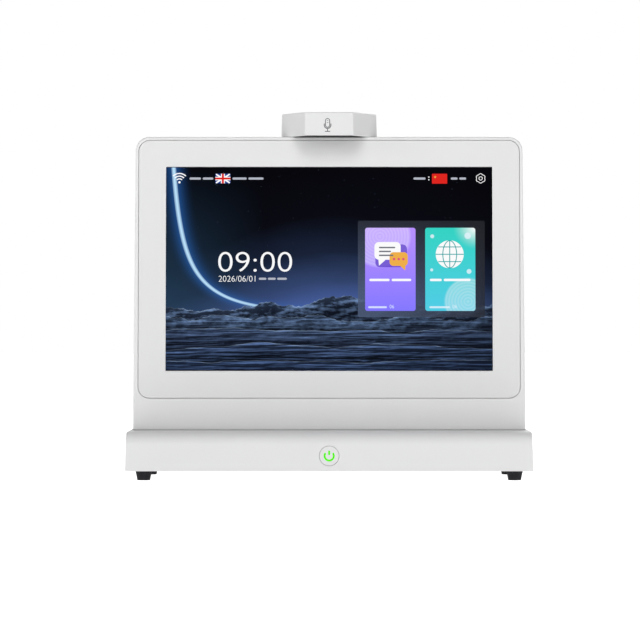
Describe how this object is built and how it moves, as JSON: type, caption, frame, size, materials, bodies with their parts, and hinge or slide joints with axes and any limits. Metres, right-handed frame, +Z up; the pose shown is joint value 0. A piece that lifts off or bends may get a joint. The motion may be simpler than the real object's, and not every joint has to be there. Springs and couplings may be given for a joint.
{
  "type": "two-sided desktop translator",
  "caption": "Free-standing white desktop translator: wedge tower with a screen on each face, six-sided microphone head, wide base with a sprung power button, rubber feet.",
  "frame": {"origin": "on the table surface, at the middle of the base's footprint", "axes": "+X to the right as seen from the front, +Y from the front screen towards the back, +Z up"},
  "size_m": [0.2666, 0.114, 0.2423],
  "materials": {
    "shell_white": "fine spark texture",
    "panel_white": "fine spark texture",
    "plate_white": "fine spark texture",
    "head_floor": "fine spark texture",
    "button_white": "smooth satin",
    "symbol_green": "lit translucent",
    "touch_glass": "polished, over a lit display",
    "display_metal": "pressed",
    "foam": "closed-cell foam",
    "sheet_steel": "zinc plated",
    "screw_steel": "zinc plated",
    "board": "solder mask",
    "aluminium": "brushed",
    "flex_film": "polyimide film",
    "mic_metal": "gold plated",
    "speaker_black": "moulded",
    "battery_sleeve": "shrink sleeve",
    "inlet_steel": "drawn",
    "switch_plastic": "moulded",
    "foot_rubber": "matte"
  },
  "bodies": {
    "terminal": {"tower_housing": "shell_white", "front_bezel": "panel_white", "rear_bezel": "panel_white", "front_touch_glass": "touch_glass", "rear_touch_glass": "touch_glass", "front_foam_tape": "foam", "rear_foam_tape": "foam", "front_display": "display_metal", "rear_display": "display_metal", "front_brackets": "sheet_steel", "rear_brackets": "sheet_steel", "bracket_screws": "screw_steel", "middle_frame": "sheet_steel", "frame_screws": "screw_steel", "main_board": "board", "heat_spreader": "aluminium", "driver_board": "board", "board_screws": "screw_steel", "front_ribbon": "flex_film", "rear_ribbon": "flex_film", "power_ribbon": "flex_film", "antennas": "flex_film", "tower_screws": "screw_steel", "mic_housing": "shell_white", "mic_floor": "head_floor", "mic_board": "board", "microphones": "mic_metal", "mic_gaskets": "foam", "mic_screws": "screw_steel", "base_shell": "shell_white", "bottom_plate": "plate_white", "plate_screws": "screw_steel", "left_speaker": "speaker_black", "right_speaker": "speaker_black", "left_speaker_gasket": "foam", "right_speaker_gasket": "foam", "speaker_screws": "screw_steel", "battery_pack": "battery_sleeve", "battery_strap": "sheet_steel", "strap_screws": "screw_steel", "power_board": "board", "power_inlet": "inlet_steel", "push_switch": "switch_plastic", "switch_board": "board", "front_left_foot": "foot_rubber", "front_right_foot": "foot_rubber", "rear_left_foot": "foot_rubber", "rear_right_foot": "foot_rubber", "foot_screws": "screw_steel"},
    "button": {"power_button": "button_white", "symbol_lens": "symbol_green", "switch_plunger": "switch_plastic"}
  },
  "joints": [
    {"name": "button_press", "type": "slide", "parent": "terminal", "child": "button", "axis": [0, 1, 0], "range_m": [0, 0.0008], "stiffness_N_per_m": 1500, "springref_m": -0.0005}
  ]
}
